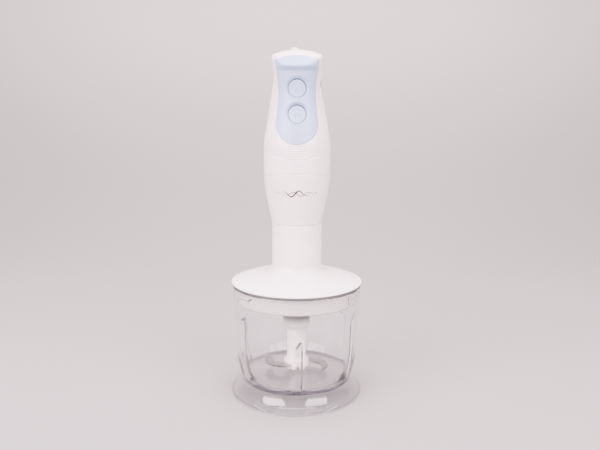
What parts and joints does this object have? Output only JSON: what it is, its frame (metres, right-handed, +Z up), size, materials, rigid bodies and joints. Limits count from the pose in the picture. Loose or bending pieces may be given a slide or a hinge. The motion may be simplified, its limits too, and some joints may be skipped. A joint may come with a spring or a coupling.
{
  "type": "immersion blender",
  "caption": "Upright motor handle with two round buttons, locked onto the geared lid of a clear chopper bowl that holds a curved two-armed blade and stands on a flared foot.",
  "frame": {"origin": "centre of the bowl's foot, on the surface it stands on", "axes": "+Z up along the axis that everything turns about; -Y the front, with the grip panel and buttons; +X to the right seen from the front"},
  "size_m": [0.13, 0.13, 0.3363],
  "materials": {
    "clear_plastic": "clear, glossy",
    "white_plastic": "satin white",
    "blue_grip": "soft pale blue",
    "grey_seal": "matt grey",
    "grey_plastic": "matt grey",
    "seal_rubber": "matt dark grey",
    "gear_plastic": "natural",
    "black_plastic": "matt black",
    "yellow_plastic": "glossy",
    "wire_plastic": "smooth",
    "board": "satin green",
    "steel": "ground",
    "lamination_steel": "stacked sheet",
    "copper": "varnished copper",
    "brass": "plain",
    "bronze": "sintered",
    "carbon": "graphite"
  },
  "bodies": {
    "bowl": {"bowl": "clear_plastic", "pivot_pin": "steel"},
    "blade": {"blade_hub": "white_plastic", "lower_blade": "steel", "upper_blade": "steel"},
    "lid_seal": {"lid_seal": "seal_rubber"},
    "lid": {"lid_shell": "white_plastic", "lid_base": "white_plastic", "lid_screws": "steel", "spindle_seal": "grey_seal", "ring_gear": "gear_plastic", "output_bush": "bronze", "gearbox_plate": "gear_plastic", "input_bush": "bronze"},
    "input_drive": {"input_coupling": "white_plastic", "input_shaft": "steel", "sun_gear": "steel"},
    "carrier": {"planet_carrier": "gear_plastic", "planet_pins": "steel", "output_spindle": "white_plastic"},
    "planet_1": {"planet_gear_1": "gear_plastic"},
    "planet_2": {"planet_gear_2": "gear_plastic"},
    "planet_3": {"planet_gear_3": "gear_plastic"},
    "neck_seal": {"spigot_ring": "seal_rubber"},
    "motor_unit": {"lower_housing": "white_plastic", "front_housing": "white_plastic", "rear_housing": "white_plastic", "grip_panel": "blue_grip", "cord_inlet_bush": "grey_plastic", "stator_core": "lamination_steel", "field_coils": "copper", "lower_bracket": "black_plastic", "upper_bracket": "black_plastic", "motor_screws": "steel", "lower_bearing": "bronze", "upper_bearing": "bronze", "brush_holders": "brass", "carbon_brushes": "carbon", "brush_springs": "steel", "motor_damper": "seal_rubber", "bearing_damper": "seal_rubber", "circuit_board": "board", "board_screws": "steel", "micro_switches": "black_plastic", "suppression_capacitor": "yellow_plastic", "speed_diode": "black_plastic", "lead_wires": "wire_plastic", "housing_screws": "steel"},
    "rotor": {"motor_shaft": "steel", "armature_core": "lamination_steel", "armature_windings": "copper", "commutator": "copper", "cooling_fan": "black_plastic", "motor_coupling": "white_plastic"},
    "speed_button": {"speed_button": "blue_grip", "speed_plunger": "black_plastic"},
    "turbo_button": {"turbo_button": "blue_grip", "turbo_plunger": "black_plastic"}
  },
  "joints": [
    {"name": "lid_twist", "type": "hinge", "parent": "bowl", "child": "lid_seal", "pos_m": [0, 0, 0.1095], "axis": [0, 0, 1], "range_deg": [0, 26]},
    {"name": "lid_lift", "type": "slide", "parent": "lid_seal", "child": "lid", "axis": [0, 0, 1], "range_m": [0, 0.06]},
    {"name": "motor_twist", "type": "hinge", "parent": "lid", "child": "neck_seal", "pos_m": [0, 0, 0.1708], "axis": [0, 0, 1], "range_deg": [0, 25]},
    {"name": "motor_lift", "type": "slide", "parent": "neck_seal", "child": "motor_unit", "axis": [0, 0, 1], "range_m": [0, 0.045]},
    {"name": "motor_spin", "type": "hinge", "parent": "motor_unit", "child": "rotor", "pos_m": [0, 0, 0.213], "axis": [0, 0, 1], "continuous": true},
    {"name": "input_spin", "type": "hinge", "parent": "lid", "child": "input_drive", "pos_m": [0, 0, 0.135], "axis": [0, 0, 1], "continuous": true},
    {"name": "carrier_spin", "type": "hinge", "parent": "lid", "child": "carrier", "pos_m": [0, 0, 0.12], "axis": [0, 0, 1], "continuous": true},
    {"name": "blade_spin", "type": "hinge", "parent": "bowl", "child": "blade", "pos_m": [0, 0, 0.03], "axis": [0, 0, 1], "continuous": true},
    {"name": "planet_1_spin", "type": "hinge", "parent": "carrier", "child": "planet_1", "pos_m": [0.012, 0, 0.125], "axis": [0, 0, 1], "continuous": true},
    {"name": "planet_2_spin", "type": "hinge", "parent": "carrier", "child": "planet_2", "pos_m": [-0.006, 0.01039, 0.125], "axis": [0, 0, 1], "continuous": true},
    {"name": "planet_3_spin", "type": "hinge", "parent": "carrier", "child": "planet_3", "pos_m": [-0.006, -0.01039, 0.125], "axis": [0, 0, 1], "continuous": true},
    {"name": "speed_press", "type": "slide", "parent": "motor_unit", "child": "speed_button", "axis": [0, 1, 0], "range_m": [0, 0.0016], "stiffness_N_per_m": 900, "springref_m": -0.002},
    {"name": "turbo_press", "type": "slide", "parent": "motor_unit", "child": "turbo_button", "axis": [0, 1, 0], "range_m": [0, 0.0016], "stiffness_N_per_m": 900, "springref_m": -0.002}
  ],
  "couplings": [
    {"joint": "input_spin", "follows": "motor_spin", "ratio": 1},
    {"joint": "carrier_spin", "follows": "motor_spin", "ratio": 0.2},
    {"joint": "blade_spin", "follows": "motor_spin", "ratio": 0.2},
    {"joint": "planet_1_spin", "follows": "motor_spin", "ratio": -0.53333},
    {"joint": "planet_2_spin", "follows": "motor_spin", "ratio": -0.53333},
    {"joint": "planet_3_spin", "follows": "motor_spin", "ratio": -0.53333}
  ]
}
